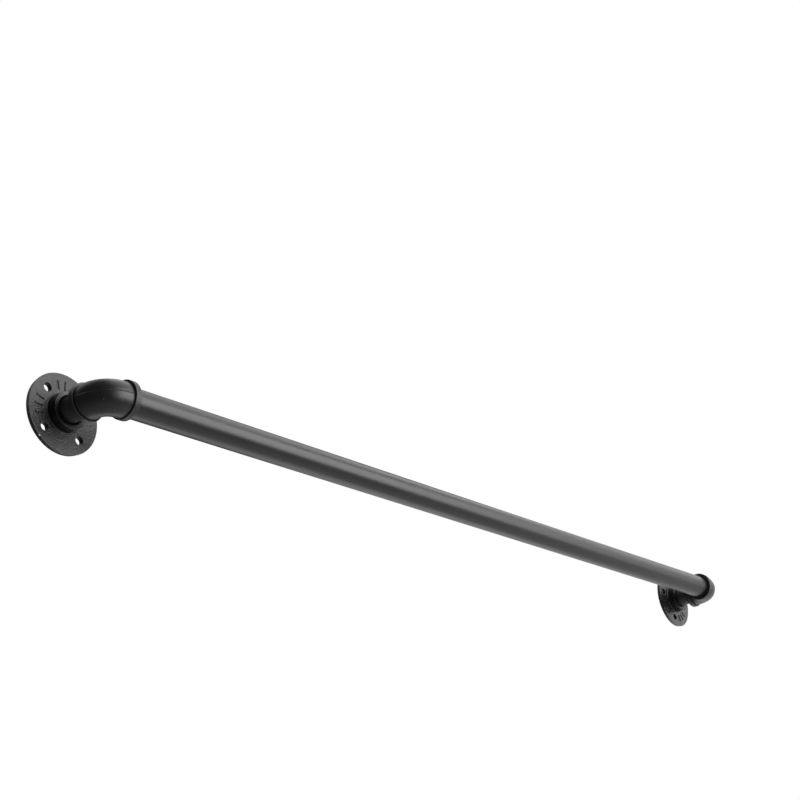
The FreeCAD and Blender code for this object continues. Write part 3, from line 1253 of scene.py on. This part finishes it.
@dataclass(frozen=True)
class Studio:
    """Camera, pale floor and soft light."""

    camera_place: Vector = Vector((-0.7532, -0.8795, -0.4981))
    yaw: float = 54.064
    pitch: float = 22.947
    roll: float = -6.772
    lens: float = 69.58
    sensor: float = 36.0
    farthest: float = 100.0
    floor_place: Vector = Vector((0.5, -0.5, -1.9))
    floor_size: float = 40.0
    floor_greys: tuple[float, float] = (0.63, 0.67)
    floor_cloud_size: float = 0.6
    floor_roughness: float = 0.9
    seen_strength: float = 1.0
    fill_strength: float = 0.12

    def build(self) -> None:
        """Builds the whole studio."""
        self.camera()
        self.floor()
        self.backdrop()
        self.lights()

    def camera(self) -> None:
        """Adds the camera, turned by yaw about +Z from +Y, then pitched up and rolled."""
        yaw, pitch, roll = (math.radians(angle) for angle in (self.yaw, self.pitch, self.roll))
        ahead = Vector((math.sin(yaw) * math.cos(pitch), math.cos(yaw) * math.cos(pitch), math.sin(pitch)))
        level = Vector((math.cos(yaw), -math.sin(yaw), 0.0))
        above = level.cross(ahead)
        right = level * math.cos(roll) + above * math.sin(roll)
        up = above * math.cos(roll) - level * math.sin(roll)
        data = bpy.data.cameras.new("camera")
        data.lens = self.lens
        data.sensor_width = self.sensor
        data.clip_end = self.farthest
        camera = bpy.data.objects.new("camera", data)
        turn = Matrix((right, up, -ahead)).transposed().to_4x4()
        camera.matrix_world = Matrix.Translation(self.camera_place) @ turn
        bpy.context.scene.collection.objects.link(camera)
        bpy.context.scene.camera = camera

    def floor(self) -> None:
        """Adds the pale floor, well below the rod."""
        deselect_everything()
        bpy.ops.mesh.primitive_plane_add(size=self.floor_size, location=self.floor_place)
        piece = name_piece(bpy.context.active_object, "floor")
        shader = Shader("floor_paint")
        clouds = shader.noise(shader.place(), self.floor_cloud_size, detail=2.0)
        dark, light = (grey(value) for value in self.floor_greys)
        shader.feed("Base Color", shader.mix(clouds, dark, light))
        shader.feed("Roughness", self.floor_roughness)
        piece.data.materials.append(shader.material)

    def backdrop(self) -> None:
        """Sets the pale surroundings: bright to the eye, and a dim fill light on the object."""
        world = bpy.data.worlds.new("studio")
        world.use_nodes = True
        nodes, links = world.node_tree.nodes, world.node_tree.links
        nodes.clear()
        output = nodes.new("ShaderNodeOutputWorld")
        mix = nodes.new("ShaderNodeMixShader")
        rays = nodes.new("ShaderNodeLightPath")
        fill = nodes.new("ShaderNodeBackground")
        seen = nodes.new("ShaderNodeBackground")
        for background, strength in ((fill, self.fill_strength), (seen, self.seen_strength)):
            background.inputs["Color"].default_value = grey(1.0)
            background.inputs["Strength"].default_value = strength
        links.new(rays.outputs["Is Camera Ray"], mix.inputs[0])
        links.new(fill.outputs[0], mix.inputs[1])
        links.new(seen.outputs[0], mix.inputs[2])
        links.new(mix.outputs[0], output.inputs["Surface"])
        bpy.context.scene.world = world
        bpy.context.scene.view_settings.view_transform = "Standard"

    def lights(self) -> None:
        """Adds the softboxes round the rod."""
        middle = middle_of("rod_tube")
        boxes = (
            Softbox("room_softbox", Vector((1.47, -2.0, 0.5)), Vector((1.47, 0.0, 0.5)), 3.3, 2.2, 110.0),
            Softbox("end_softbox", middle + Vector((2.97, 0.42, 0.1)), middle, 5.0, 3.6, 50.0),
            Softbox("high_softbox", middle + Vector((2.85, -0.55, 1.75)), middle, 1.5, 1.5, 6.4),
            Softbox("top_softbox", middle + Vector((0.9, -0.5, 2.2)), middle, 3.0, 2.4, 36.0),
            Softbox("bounce_card", Vector((1.37, 0.98, -1.09)), Vector((0.05, -0.05, 0.0)), 1.6, 0.8, 4.0),
            Softbox("back_softbox", Vector((0.35, 1.05, 1.1)), Vector((0.0, -0.05, 0.0)), 1.8, 1.8, 6.0),
        )
        for softbox in boxes:
            softbox.build()


def main() -> None:
    """Builds the studio and then the object's pieces, from the tube out to the wall."""
    logging.basicConfig(level=logging.INFO, format="%(name)s: %(message)s")
    Studio().build()
    layout = Layout()
    Rod(layout).build()
    Elbow(layout).build()
    Nipple(layout).build()
    WallFlange(layout).build()


if __name__ == "__main__":
    main()
